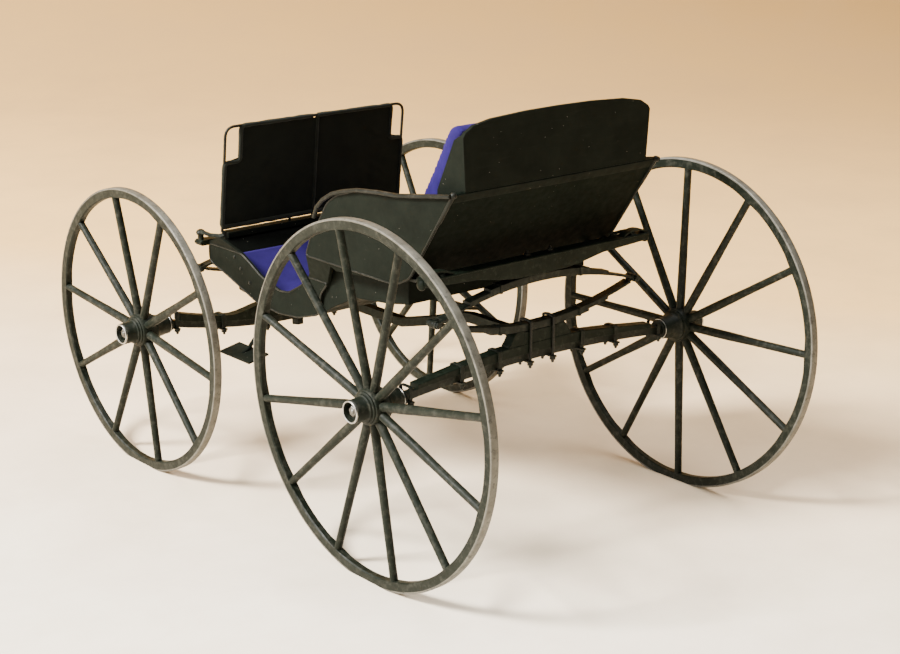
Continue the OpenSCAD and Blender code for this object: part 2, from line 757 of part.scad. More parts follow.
// ---- the model -----------------------------------------------------------------------------

on_axle(1, rear_y, rear_r) tyre(rear_r);  // rear_left_tyre
on_axle(1, rear_y, rear_r) felloe(rear_r);  // rear_left_felloe
on_axle(1, rear_y, rear_r) spokes(rear_r, rear_spokes, rear_left_phase);  // rear_left_spokes
on_axle(1, rear_y, rear_r) hub();  // rear_left_hub
on_axle(1, rear_y, rear_r) bands();  // rear_left_bands
on_axle(-1, rear_y, rear_r) tyre(rear_r);  // rear_right_tyre
on_axle(-1, rear_y, rear_r) felloe(rear_r);  // rear_right_felloe
on_axle(-1, rear_y, rear_r) spokes(rear_r, rear_spokes, rear_right_phase);  // rear_right_spokes
on_axle(-1, rear_y, rear_r) hub();  // rear_right_hub
on_axle(-1, rear_y, rear_r) bands();  // rear_right_bands
on_axle(1, front_y, front_r) tyre(front_r);  // front_left_tyre
on_axle(1, front_y, front_r) felloe(front_r);  // front_left_felloe
on_axle(1, front_y, front_r) spokes(front_r, front_spokes, front_left_phase);  // front_left_spokes
on_axle(1, front_y, front_r) hub();  // front_left_hub
on_axle(1, front_y, front_r) bands();  // front_left_bands
on_axle(-1, front_y, front_r) tyre(front_r);  // front_right_tyre
on_axle(-1, front_y, front_r) felloe(front_r);  // front_right_felloe
on_axle(-1, front_y, front_r) spokes(front_r, front_spokes, front_right_phase);  // front_right_spokes
on_axle(-1, front_y, front_r) hub();  // front_right_hub
on_axle(-1, front_y, front_r) bands();  // front_right_bands
rear_axle();
rear_axle_bed();
rear_spring_block();
rear_spring_lower();
rear_spring_upper();
rear_crossbar();
loop_irons();
reach();
head_block();
fifth_wheel_upper();
king_pin();
front_spring_lower();
front_spring_upper();
front_crossbar();
spring_bolts();
front_axle();
front_axle_bed();
fifth_wheel_lower();
shaft_couplings();
axle_nuts(rear_y, rear_r);  // axle_nuts_rear
axle_nuts(front_y, front_r);  // axle_nuts_front
side_panel(1);  // side_panel_left
side_panel(-1);  // side_panel_right
floor();
toe_board();
seat_box();
seat_board();
seat_rear_panel();
backrest();
seat_cushion();
back_cushion();
arm_rails();
dash_frame();
dash_cloth();
carpet();
step(1);  // step_left
step(-1);  // step_right
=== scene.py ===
import math

import bmesh
import bpy
import numpy as np
from mathutils import Matrix, Vector, noise
from mathutils.bvhtree import BVHTree


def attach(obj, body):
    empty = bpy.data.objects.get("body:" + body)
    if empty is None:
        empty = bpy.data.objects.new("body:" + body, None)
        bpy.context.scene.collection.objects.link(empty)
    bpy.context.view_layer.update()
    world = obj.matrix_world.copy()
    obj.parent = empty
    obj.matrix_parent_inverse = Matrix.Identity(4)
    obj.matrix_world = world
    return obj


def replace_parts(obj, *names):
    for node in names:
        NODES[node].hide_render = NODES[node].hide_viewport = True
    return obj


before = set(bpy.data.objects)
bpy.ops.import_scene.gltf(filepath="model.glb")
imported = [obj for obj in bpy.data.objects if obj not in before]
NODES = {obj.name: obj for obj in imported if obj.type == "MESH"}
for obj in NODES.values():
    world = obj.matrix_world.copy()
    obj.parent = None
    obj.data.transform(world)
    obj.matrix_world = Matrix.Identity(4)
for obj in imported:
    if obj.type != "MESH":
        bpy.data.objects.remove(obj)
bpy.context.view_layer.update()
MM = 0.001
scene = bpy.context.scene

# ---- camera ----------------------------------------------------------------------------------

CAMERA_AT = Vector((0.48156, 0.58546, 0.29639))
CAMERA_ROLL = 0.007
LENS_MM, SENSOR_MM = 75.1856, 36

look = Vector((-0.6226, -0.7269, -0.2898)).normalized()
level = look.cross(Vector((0, 0, 1))).normalized()
rise = level.cross(look)
side_way = math.cos(CAMERA_ROLL) * level + math.sin(CAMERA_ROLL) * rise
up_way = math.cos(CAMERA_ROLL) * rise - math.sin(CAMERA_ROLL) * level
camera = bpy.data.objects.new("camera", bpy.data.cameras.new("camera"))
camera.data.sensor_width = SENSOR_MM
camera.data.lens = LENS_MM
camera.data.clip_start = 0.01
camera.data.clip_end = 20
camera.matrix_world = Matrix((
    (side_way.x, up_way.x, -look.x, CAMERA_AT.x),
    (side_way.y, up_way.y, -look.y, CAMERA_AT.y),
    (side_way.z, up_way.z, -look.z, CAMERA_AT.z),
    (0, 0, 0, 1)))
scene.collection.objects.link(camera)
scene.camera = camera

# ---- materials -------------------------------------------------------------------------------


class Finish:
    """A node material under construction. Patterns are drawn in the object's own coordinates, in metres."""

    def __init__(self, name, roughness=0.5, metallic=0.0, specular=0.5):
        self.mat = bpy.data.materials.new(name)
        self.mat.use_nodes = True
        self.nt = self.mat.node_tree
        self.nt.nodes.clear()
        out = self.nt.nodes.new("ShaderNodeOutputMaterial")
        self.bsdf = self.nt.nodes.new("ShaderNodeBsdfPrincipled")
        self.nt.links.new(self.bsdf.outputs[0], out.inputs[0])
        self.bsdf.inputs["Roughness"].default_value = roughness
        self.bsdf.inputs["Metallic"].default_value = metallic
        self.bsdf.inputs["Specular IOR Level"].default_value = specular
        self.coord = self.nt.nodes.new("ShaderNodeTexCoord").outputs["Object"]

    def node(self, kind, links=(), **values):
        n = self.nt.nodes.new(kind)
        for key, value in values.items():
            setattr(n, key, value)
        for key, value in dict(links).items():
            if isinstance(value, bpy.types.NodeSocket):
                self.nt.links.new(value, n.inputs[key])
            else:
                n.inputs[key].default_value = value
        return n

    def stretched(self, scale):
        return self.node("ShaderNodeMapping", {"Vector": self.coord, "Scale": scale}).outputs[0]

    def noise(self, size_mm, detail=4.0, rough=0.6, stretch=None):
        """Noise whose blobs are about size_mm across."""
        at = self.stretched(stretch) if stretch else self.coord
        return self.node("ShaderNodeTexNoise", {
            "Vector": at, "Scale": 1000.0 / size_mm, "Detail": detail, "Roughness": rough}).outputs["Fac"]

    def cells(self, size_mm):
        return self.node("ShaderNodeTexVoronoi", {
            "Vector": self.coord, "Scale": 1000.0 / size_mm}).outputs["Distance"]

    def ramp(self, fac, low, high, a=0.0, b=1.0):
        return self.node("ShaderNodeMapRange", {
            "Value": fac, "From Min": low, "From Max": high, "To Min": a, "To Max": b}).outputs[0]

    def mix(self, fac, a, b):
        n = self.nt.nodes.new("ShaderNodeMix")
        n.data_type = "RGBA"
        for key, value in ((0, fac), (6, a), (7, b)):
            if isinstance(value, bpy.types.NodeSocket):
                self.nt.links.new(value, n.inputs[key])
            elif key == 0:
                n.inputs[0].default_value = value
            else:
                n.inputs[key].default_value = (*value, 1)
        return n.outputs[2]

    def times(self, a, b, op="MULTIPLY"):
        return self.node("ShaderNodeMath", {0: a, 1: b}, operation=op).outputs[0]

    def dot(self, at, way):
        """How far a point lies along a direction."""
        return self.node("ShaderNodeVectorMath", {0: at, 1: tuple(way)}, operation="DOT_PRODUCT").outputs["Value"]

    def colour(self, socket):
        self.nt.links.new(socket, self.bsdf.inputs["Base Color"])

    def rough(self, socket):
        self.nt.links.new(socket, self.bsdf.inputs["Roughness"])

    def bump(self, height, depth_mm, strength=1.0):
        n = self.node("ShaderNodeBump", {"Height": height, "Strength": strength, "Distance": depth_mm * MM})
        self.nt.links.new(n.outputs[0], self.bsdf.inputs["Normal"])


def painted(name, base, worn, rubbed, chip, wear, chips, roughness=(0.38, 0.62), specular=0.1):
    """Old paint on wood or iron: uneven, rubbed thin in places, chipped in spots."""
    f = Finish(name, specular=specular)
    broad = f.ramp(f.noise(9, 3), 0.38, 0.62)
    colour = f.mix(broad, base, worn)
    rub = f.ramp(f.noise(2.6, 6, 0.7), 1 - wear, 1.12 - wear)
    colour = f.mix(f.times(rub, 0.75), colour, rubbed)
    spots = f.ramp(f.noise(0.9, 3, 0.55), chips, chips + 0.03)
    colour = f.mix(spots, colour, chip)
    f.colour(colour)
    f.rough(f.ramp(f.noise(1.7, 5), 0.3, 0.7, roughness[0], roughness[1]))
    f.bump(f.times(f.noise(0.5, 5, 0.65), f.times(spots, -0.5), "ADD"), 0.05, 0.5)
    return f.mat


wheel_paint = painted(
    "wheel_paint", (0.0038, 0.0058, 0.0032), (0.0068, 0.0092, 0.0058), (0.028, 0.0285, 0.0215), (0.3, 0.28, 0.21),
    wear=0.5, chips=0.77, specular=0.12)
gear_paint = painted(
    "gear_paint", (0.0036, 0.0062, 0.0034), (0.0058, 0.009, 0.0056), (0.017, 0.0215, 0.015), (0.18, 0.165, 0.12),
    wear=0.47, chips=0.79, specular=0.08)
iron = painted(
    "ironwork", (0.004, 0.006, 0.0038), (0.007, 0.0092, 0.0064), (0.024, 0.0265, 0.0195), (0.18, 0.155, 0.11),
    wear=0.5, chips=0.78, roughness=(0.34, 0.55), specular=0.12)
rod_paint = painted(
    "rod_paint", (0.0055, 0.0064, 0.0045), (0.0095, 0.0103, 0.0078), (0.034, 0.032, 0.026), (0.25, 0.22, 0.17),
    wear=0.46, chips=0.8, roughness=(0.3, 0.5), specular=0.15)


def body_finish(name, share, shade_below=None):
    """Matt black paint with a fine tooth, faint brush marks and tiny pale specks. share scales its tones, and a share
    below 1 paints shade on a part that lies in shadow. Given a band of heights, it is painted near black below the
    band, a painted shade towards the part's foot.
    """
    f = Finish(name, specular=0.03)
    shade = [[s * c for s, c in zip(share, tone)]
             for tone in ((0.0052, 0.0066, 0.0047), (0.0072, 0.0091, 0.0066), (0.0117, 0.0138, 0.0103))]
    brush = f.noise(1.6, 5, 0.7, (0.16, 1, 1))
    colour = f.mix(f.ramp(f.noise(14, 3), 0.35, 0.65), shade[0], shade[1])
    colour = f.mix(f.ramp(brush, 0.55, 0.75, 0, 0.5), colour, shade[2])
    specks = f.ramp(f.cells(3.2), 0.045, 0.03)
    colour = f.mix(f.times(specks, 0.8), colour, (0.3, 0.28, 0.23))
    # Painted shade: below the given band of heights the colour goes to near black.
    if shade_below:
        height = f.node("ShaderNodeSeparateXYZ", {0: f.coord}).outputs[2]
        colour = f.mix(f.ramp(height, *shade_below), (0.0003, 0.0009, 0.0004), colour)
    f.colour(colour)
    f.rough(f.ramp(f.noise(3, 4), 0.3, 0.7, 0.5, 0.72))
    f.bump(f.times(f.noise(0.35, 4), brush, "ADD"), 0.04, 0.5)
    return f.mat


def metal(name, dark, light, rough):
    """Bare metal, stained in places and finely scratched."""
    f = Finish(name, metallic=1.0)
    streak = f.noise(0.7, 5, 0.65)
    colour = f.mix(f.ramp(f.noise(4, 4), 0.35, 0.65), dark, light)
    colour = f.mix(f.ramp(streak, 0.58, 0.72, 0, 0.6), colour, (0.09, 0.08, 0.065))
    f.colour(colour)
    f.rough(f.ramp(streak, 0.3, 0.7, rough - 0.1, rough + 0.14))
    f.bump(streak, 0.03, 0.5)
    return f.mat


def tyre_finish():
    """Worn bare iron on the tread, with dark stains that creep in from the edges."""
    f = Finish("tyre_iron", metallic=0.35, specular=0.5)
    colour = f.mix(f.ramp(f.noise(5, 5), 0.35, 0.65), (0.075, 0.07, 0.055), (0.135, 0.127, 0.103))
    colour = f.mix(f.ramp(f.noise(1.3, 5, 0.7), 0.56, 0.66, 0, 0.85), colour, (0.04, 0.038, 0.03))
    colour = f.mix(f.ramp(f.noise(4.5, 6, 0.7), 0.58, 0.64, 0, 0.7), colour, (0.03, 0.028, 0.022))
    f.colour(colour)
    f.rough(f.ramp(f.noise(1, 5), 0.3, 0.7, 0.42, 0.68))
    f.bump(f.noise(0.8, 5), 0.04, 0.5)
    return f.mat


def woven(name, base, lit, thread_mm, sheen, tint, along):
    """Plain woven cloth: threads across X and along a direction, over and under, with lint and uneven dye."""
    f = Finish(name, roughness=0.9, specular=0.1)
    f.bsdf.inputs["Sheen Weight"].default_value = sheen
    f.bsdf.inputs["Sheen Roughness"].default_value = 0.5
    f.bsdf.inputs["Sheen Tint"].default_value = (*tint, 1)
    drift = f.node("ShaderNodeTexNoise", {"Vector": f.coord, "Scale": 400.0}).outputs["Color"]
    drift = f.node("ShaderNodeVectorMath", {0: drift, 1: (0.12 * MM,) * 3}, operation="MULTIPLY").outputs[0]
    drift = f.node("ShaderNodeVectorMath", {0: f.coord, 1: drift}, operation="ADD").outputs[0]
    waves = []
    for way in ((1, 0, 0), along):
        phase = f.times(f.dot(drift, way), 2 * math.pi / (thread_mm * MM))
        waves.append(f.times(phase, 0.0, "SINE"))
    weave = f.times(waves[0], waves[1])
    lint = f.noise(0.6, 6, 0.75)
    colour = f.mix(f.ramp(f.noise(8, 4), 0.3, 0.7), base, lit)
    colour = f.mix(f.ramp(weave, -1, 1, 0, 0.3), colour, tuple(1.6 * c for c in lit))
    colour = f.mix(f.ramp(lint, 0.6, 0.8, 0, 0.35), colour, tuple(2.0 * c for c in lit))
    f.colour(colour)
    f.bump(f.times(f.times(weave, 0.5), lint, "ADD"), 0.05, 0.7)
    return f.mat


body_paint = body_finish("body_paint", (1, 1, 1))
# The toe board's paint at three tenths of the tone: painted shade where the dash shadows the board.
toe_shade_paint = body_finish("toe_shade_paint", (0.3, 0.3, 0.3))
# The rear panel's paint, darker and greener all over and near black towards its foot: painted shade on a panel that
# gets little light, deepest where the crossbar shades its foot.
rear_shade_paint = body_finish("rear_shade_paint", (0.55, 0.78, 0.7), shade_below=(0.106, 0.15))
tyre_iron = tyre_finish()
silver = metal("bright_metal", (0.3, 0.29, 0.27), (0.5, 0.49, 0.46), 0.36)
dull_metal = metal("dull_metal", (0.07, 0.068, 0.06), (0.16, 0.155, 0.14), 0.42)
blue_cloth = woven("blue_cloth", (0.0085, 0.0045, 0.05), (0.016, 0.0085, 0.082), 0.55, 0.1, (0.4, 0.3, 0.85),
                   (0, 1, 0))
black_cloth = woven("black_cloth", (0.0038, 0.005, 0.0034), (0.0062, 0.0076, 0.0052), 0.5, 0.07, (0.5, 0.52, 0.45),
                    (0, 0, 1))
# A lighter copy of the black cloth for the dash's rolled edges: a painted highlight where the rolls catch light from
# above.
lit_edge_cloth = woven("lit_edge_cloth", (0.0085, 0.0098, 0.0074), (0.0155, 0.0172, 0.0135), 0.5, 0.12, (0.6, 0.62, 0.55),
                   (0, 0, 1))

# ---- mesh tools ------------------------------------------------------------------------------


class Shape:
    """Points in millimetres and their faces, gathered from simple forms into one piece."""

    def __init__(self):
        self.points, self.faces = [], []

    def add(self, points, faces, place=None):
        start = len(self.points)
        self.points += [place @ Vector(p) if place else Vector(p) for p in points]
        self.faces += [[start + i for i in f] for f in faces]
        return self

    def loft(self, rings, closed=False, place=None):
        """A skin over rings of points, capped at both ends, or joined end to end when closed."""
        n, m = len(rings[0]), len(rings)
        faces = []
        for i in range(m if closed else m - 1):
            a, b = i * n, (i + 1) % m * n
            faces += [[a + k, a + (k + 1) % n, b + (k + 1) % n, b + k] for k in range(n)]
        if not closed:
            faces += [list(range(n))[::-1], [(m - 1) * n + k for k in range(n)]]
        return self.add([p for ring in rings for p in ring], faces, place)

    def lathe(self, profile, place, sides):
        """A closed outline of (radius, height) points, turned about Z."""
        rings = []
        for i in range(sides):
            a = 2 * math.pi * i / sides
            rings.append([(r * math.cos(a), r * math.sin(a), z) for r, z in profile])
        return self.loft(rings, True, place)

    def tube(self, path, radius, sides=10, flat=1.0, up=(0, 0, 1), closed=False):
        """A rod along a path. flat makes its section an ellipse, thinner along up."""
        path = [Vector(p) for p in path]
        n = len(path)
        rings = []
        radii = radius if hasattr(radius, "__len__") else [radius] * n
        for i, p in enumerate(path):
            ahead = path[(i + 1) % n] if closed else path[min(i + 1, n - 1)]
            behind = path[i - 1] if closed or i else path[0]
            t = (ahead - behind).normalized()
            a = t.cross(Vector(up))
            a = a.normalized() if a.length > 1e-4 else t.orthogonal().normalized()
            b = a.cross(t)
            rings.append([p + radii[i] * (math.cos(q) * a + flat * math.sin(q) * b)
                          for q in (2 * math.pi * k / sides for k in range(sides))])
        return self.loft(rings, closed)

    def block(self, centre, size, place=None):
        x, y, z = (s / 2 for s in size)
        cx, cy, cz = centre
        corners = [(cx + i * x, cy + j * y, cz + k * z) for i in (-1, 1) for j in (-1, 1) for k in (-1, 1)]
        faces = [[0, 1, 3, 2], [4, 6, 7, 5], [0, 4, 5, 1], [2, 3, 7, 6], [0, 2, 6, 4], [1, 5, 7, 3]]
        return self.add(corners, faces, place)

    def strap(self, path, width, thick, across=(1, 0, 0), place=None):
        """A flat strip of metal along a path, width along across."""
        path, across = [Vector(p) for p in path], Vector(across)
        rings = []
        for i, p in enumerate(path):
            t = (path[min(i + 1, len(path) - 1)] - path[max(i - 1, 0)]).normalized()
            n = across.cross(t).normalized()
            w, h = across * width / 2, n * thick / 2
            rings.append([p - w - h, p + w - h, p + w + h, p - w + h])
        return self.loft(rings, False, place)

    def nut(self, place, radius=1.0, height=0.8, stub=0.5, turn=0.0):
        """A hexagon nut with chamfered corners, and the rounded end of its bolt."""
        def ring(r, z, n=6):
            angles = [turn + 2 * math.pi * k / n for k in range(n)]
            return [(r * math.cos(a), r * math.sin(a), z) for a in angles]
        chamfer = radius * 0.86
        self.loft([ring(chamfer, 0), ring(radius, height * 0.14), ring(radius, height * 0.86), ring(chamfer, height)],
                  False, place)
        if stub:
            r = radius * 0.48
            self.loft([ring(r, height - 0.1, 12), ring(r, height + stub * 0.7, 12), ring(r * 0.6, height + stub, 12)],
                      False, place)
        return self

    def dome(self, place, radius, height):
        angles = [2 * math.pi * k / 16 for k in range(16)]
        rings = [[(radius * c * math.cos(a), radius * c * math.sin(a), z * height) for a in angles]
                 for c, z in ((1, 0), (0.97, 0.3), (0.84, 0.62), (0.55, 0.88), (0.1, 1))]
        return self.loft(rings, False, place)


def at(x, y, z, rot=None):
    m = Matrix.Translation((x, y, z))
    return m @ rot if rot else m


def outward(side, tilt=0.0):
    """Turns Z to point out to a side of the carriage, tilted down by an angle."""
    return Matrix.Rotation(side * (math.pi / 2 + tilt), 4, "Y")


DOWN = Matrix.Rotation(math.pi, 4, "X")


def eased(points, reach=1.5, closed=False, step=0.5):
    """A polyline taken at even steps, with its corners rounded over a reach in millimetres."""
    pts = [Vector(p) for p in points]
    if closed:
        pts.append(pts[0].copy())
    dense = [pts[0]]
    for a, b in zip(pts, pts[1:]):
        n = max(1, round((b - a).length / step))
        dense += [a.lerp(b, (i + 1) / n) for i in range(n)]
    if closed:
        dense.pop()
    n, out = len(dense), []
    for i in range(n):
        k = max(1, round(reach / step))
        k = k if closed else min(k, i, n - 1 - i)
        near = [dense[(i + j) % n] for j in range(-k, k + 1)]
        out.append(sum(near, Vector()) / len(near))
    return out


def made(name, shape, mat, body, bevel=0.0, smooth=38):
    """Turns a shape into a piece that rides on a body."""
    mesh = bpy.data.meshes.new(name)
    mesh.from_pydata([p * MM for p in shape.points], [], shape.faces)
    bm = bmesh.new()
    bm.from_mesh(mesh)
    bmesh.ops.recalc_face_normals(bm, faces=bm.faces)
    bm.to_mesh(mesh)
    bm.free()
    mesh.shade_smooth()
    mesh.set_sharp_from_angle(angle=math.radians(smooth))
    mesh.materials.append(mat)
    o = bpy.data.objects.new(name, mesh)
    scene.collection.objects.link(o)
    if bevel:
        soften(o, bevel)
    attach(o, body)
    return o


def soften(o, width):
    m = o.modifiers.new("soften", "BEVEL")
    m.width = width * MM
    m.segments = 2
    m.limit_method = "ANGLE"
    m.angle_limit = math.radians(40)


def paint(nodes, mat, bevel=0.0):
    """Gives CAD nodes a finish, and eases their edges."""
    for n in nodes:
        o = NODES[n]
        o.data.materials.clear()
        o.data.materials.append(mat)
        if bevel:
            w = o.modifiers.new("weld", "WELD")
            w.merge_threshold = 1e-6
            soften(o, bevel)
            s = o.modifiers.new("normals", "WEIGHTED_NORMAL")
            s.keep_sharp = True


# ---- sizes repeated from the CAD source, in millimetres --------------------------------------

CAMBER = math.radians(1.3)
HALF_TRACK = 84.0
REAR_R, FRONT_R = 70.0, 61.7
RIM_W, TYRE_T, RIM_D, HUB_R, HUB_IN, DISH = 3.5, 0.8, 3.5, 7.0, 14.7, 2.0
REAR_Y, FRONT_Y = 75.35, -83.65
REAR_ARCH, FRONT_ARCH = 3.7, -8.5
AXLE_HALF = 1.5
REAR_EYE_Z, FRONT_EYE_Z, SPRING_HALF = 95.6, 84.1, 52.4
REAR_RISE, FRONT_RISE = 8.6, 7.0
SEAT_Z, RAIL_Z, SEAT_HALF = 110.0, 146.3, 53.0
BODY_HALF = 48.0
PANEL_BACK = 10.5


def hub_z(r):
    """Height of the middle of a wheel of radius r, which leans out by the camber."""
    return r * math.cos(CAMBER) + RIM_W / 2 * math.sin(CAMBER)


# ---- wheels ----------------------------------------------------------------------------------


def wheel_place(side, y, radius):
    return at(side * HALF_TRACK, y, hub_z(radius), outward(side, CAMBER))


def tyre(radius, seed):
    """The iron band: rounded at the edges, and not quite true."""
    rings, steps, half, seat = [], 180, RIM_W / 2 - 0.02, radius - TYRE_T
    for i in range(steps):
        a = 2 * math.pi * i / steps
        c, s = math.cos(a), math.sin(a)
        worn = 0.05 * abs(noise.noise(seed + Vector((3 * c, 3 * s, 0))))
        worn += 0.03 * abs(noise.noise(seed + Vector((17 * c, 17 * s, 5))))
        skew = 0.08 * noise.noise(seed + Vector((2 * c, 2 * s, 9)))
        rings.append([((r - worn) * c, (r - worn) * s, z) for r, z in (
            (radius, -1.35), (radius, 1.35), (radius - 0.08, 1.6 + skew), (radius - 0.28, half + skew / 2),
            (seat, half), (seat, -half), (radius - 0.28, -half + skew / 2), (radius - 0.08, -1.6 + skew))])
    return rings


def felloe(outer, inner, count, phase):
    """The wooden rim: square where a spoke stands in it, and chamfered between the spokes."""
    rings, half = [], RIM_W / 2 - 0.12
    for i in range(count * 24):
        a = 2 * math.pi * i / (count * 24) + phase
        away = abs(math.sin((a - phase) * count / 2))
        cut = 0.12 + 0.4 * min(1.0, max(0.0, (away - 0.22) * 2.6))
        rings.append([(r * math.cos(a), r * math.sin(a), z) for r, z in (
            (outer, -half), (outer, half), (inner + cut, half), (inner, half - cut), (inner, -half + cut),
            (inner + cut, -half))])
    return rings


def spoke(inner, seed):
    """A spoke along X: deep at the hub, oval in the middle, slimmer at the rim."""
    rings, foot = [], HUB_R - 0.9
    for k in range(13):
        t = k / 12
        r = foot + t * (inner + 0.15 - foot)
        z = -DISH + (r - 5) * DISH / (inner - HUB_R)
        wide = 1.62 + 0.32 * math.sin(math.pi * min(1, t * 1.6 + 0.08)) * (1 - 0.5 * t) - 0.12 * t
        wide += 0.05 * noise.noise(seed + Vector((0, t * 4, 0)))
        deep = 1.95 - 0.45 * min(1, t * 3.2) ** 0.6 + 0.12 * math.sin(math.pi * t) + (0.12 if t > 0.93 else 0)
        rings.append([(r, wide * math.cos(q), z + deep * math.sin(q))
                      for q in (2 * math.pi * j / 18 for j in range(18))])
    return rings


# Outlines as (radius, height): a turned barrel with a shoulder on either side of the spokes and a deep recess at its
# outer end, and the bright rings on its two ends.
HUB_OUTLINE = [
    (2.35, -14.6), (3.7, -14.62), (3.85, -14.3), (4.15, -14.2), (4.3, -13.9), (4.3, -12.4), (4.5, -11.6),
    (4.85, -9.4), (5.4, -7.3), (5.8, -6.9), (6.25, -6.7), (6.35, -5.9), (6.3, -5.7), (6.75, -5.5), (6.98, -4.9),
    (6.98, 0.2), (6.72, 0.75), (6.2, 0.95), (6.15, 1.5), (5.75, 1.75), (5.4, 1.8), (5.35, 2.45), (5.0, 2.7),
    (4.68, 2.75), (4.55, 3.1), (4.48, 5.2), (4.5, 7.2), (4.3, 7.35), (4.0, 7.4), (4.0, 8.0), (3.78, 8.0),
    (3.6, 7.6), (3.4, 5.3), (2.35, 5.2)]
OUTER_RING = [(3.95, 7.42), (4.25, 7.42), (4.32, 7.6), (4.28, 8.08), (4.14, 8.22), (3.95, 8.24), (3.8, 8.15),
              (3.76, 8.02), (3.95, 7.98)]
INNER_RING = [(3.9, -14.66), (4.16, -14.66), (4.22, -14.6), (4.22, -14.44), (4.16, -14.38), (3.9, -14.38)]


def wheel(name, side, y, radius, count, phase):
    place = wheel_place(side, y, radius)
    body = name + "_wheel"
    outer = radius - TYRE_T
    inner = outer - RIM_D
    seed = Vector((side * 31.0, y, radius))

    band = Shape().loft(tyre(radius, seed), True, place)
    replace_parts(made(name + "_tyre_band", band, tyre_iron, body), name + "_tyre")
    rim = Shape().loft(felloe(outer, inner, count, math.radians(phase)), True, place)
    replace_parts(made(name + "_rim", rim, wheel_paint, body, smooth=30), name + "_felloe")
    spokes = Shape()
    for i in range(count):
        turn = Matrix.Rotation(math.radians(phase + i * 360 / count), 4, "Z")
        spokes.loft(spoke(inner, seed + Vector((i * 3.7, 0, 0))), False, place @ turn)
    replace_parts(made(name + "_spoke_set", spokes, wheel_paint, body, smooth=60), name + "_spokes")
    hub = Shape().lathe(HUB_OUTLINE, place, 64)
    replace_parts(made(name + "_nave", hub, wheel_paint, body, smooth=32), name + "_hub")
    rings = Shape().lathe(OUTER_RING, place, 64).lathe(INNER_RING, place, 64)
    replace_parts(made(name + "_hub_rings", rings, silver, body, smooth=40), name + "_bands")


WHEELS = (("rear_left", 1, REAR_Y, REAR_R, 12, 12), ("rear_right", -1, REAR_Y, REAR_R, 12, -2),
          ("front_left", 1, FRONT_Y, FRONT_R, 10, 11), ("front_right", -1, FRONT_Y, FRONT_R, 10, 5))
for spec in WHEELS:
    wheel(*spec)

for end, y, radius, body in (("rear", REAR_Y, REAR_R, "carriage"), ("front", FRONT_Y, FRONT_R, "front_gear")):
    nuts = Shape()
    for side in (-1, 1):
        place = wheel_place(side, y, radius)
        nuts.nut(place @ at(0, 0, 5.3), 2.1, 1.7, 0, 0.3)
        nuts.dome(place @ at(0, 0, 6.9), 1.15, 0.6)
    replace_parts(made("axle_caps_" + end, nuts, dull_metal, body), "axle_nuts_" + end)

# ---- running gear ----------------------------------------------------------------------------

paint(["rear_axle", "front_axle", "fifth_wheel_lower", "fifth_wheel_upper", "king_pin", "loop_irons",
       "shaft_couplings", "spring_bolts", "rear_spring_lower", "rear_spring_upper", "front_spring_lower",
       "front_spring_upper"], iron, 0.12)
paint(["rear_axle_bed", "front_axle_bed", "rear_spring_block", "rear_crossbar", "reach", "head_block",
       "front_crossbar"], gear_paint, 0.3)

ARM_SHOULDER = 1.2
BAR_HALF = HALF_TRACK - HUB_IN - ARM_SHOULDER


def bar_z(x, front):
    """Height of the middle of an arched axle at x."""
    arm = hub_z(FRONT_R if front else REAR_R) + (HUB_IN + ARM_SHOULDER) * math.sin(CAMBER)
    return arm + (FRONT_ARCH if front else REAR_ARCH) * (1 - (x / BAR_HALF) ** 2)


def bar_low(x, front):
    """Height of the underside of an arched axle at x."""
    return bar_z(x, front) - AXLE_HALF


def smooth_step(t):
    """0 before 0 and 1 after 1, eased in between."""
    t = min(1.0, max(0.0, t))
    return t * t * (3 - 2 * t)


def bed_top(x, front):
    """Height of the top of the wooden bed on an axle, at x."""
    deep, thin, flat, shoulder = (8, 3.9, 17, 39) if front else (4, 2, 10, BAR_HALF - 6)
    past = max(0.0, abs(x) - flat)
    base = bar_z(past * BAR_HALF / (BAR_HALF - flat), front)
    return base + AXLE_HALF + deep - (deep - thin) * smooth_step(past / (shoulder - flat))


def clip(shape, x, y, low, high, band):
    """A clip: a flat band over the wood, its legs, the plate under the axle, and two nuts on the legs' ends."""
    t, half = 0.5, 2.75
    spot = at(x, y, 0)
    arch = [(half + t / 2, low + 0.3), (half + t / 2, high - 0.6), (half + 0.1, high + 0.1),
            (half - 0.5, high + 0.45), (half * 0.45, high + 0.5), (0, high + 0.5)]
    shape.strap([(0, -b, c) for b, c in arch] + [(0, b, c) for b, c in arch[-2::-1]], band, t, place=spot)
    shape.block((0, 0, low - 0.35), (band + 0.6, 2 * half + 2.8, 0.7), spot)
    for s in (-1, 1):
        shape.nut(at(x, y + s * (half + 0.25), low - 0.7, DOWN), 1.25, 1.0, 1.1, 0.4 * s + x)


def axle_clips(y, front, bands):
    """The clips of one axle, in pairs at the places and band widths given."""
    clips = Shape()
    for x, band in bands:
        for side in (-1, 1):
            clip(clips, side * x, y, bar_low(x, front), bed_top(x, front), band)
    return clips


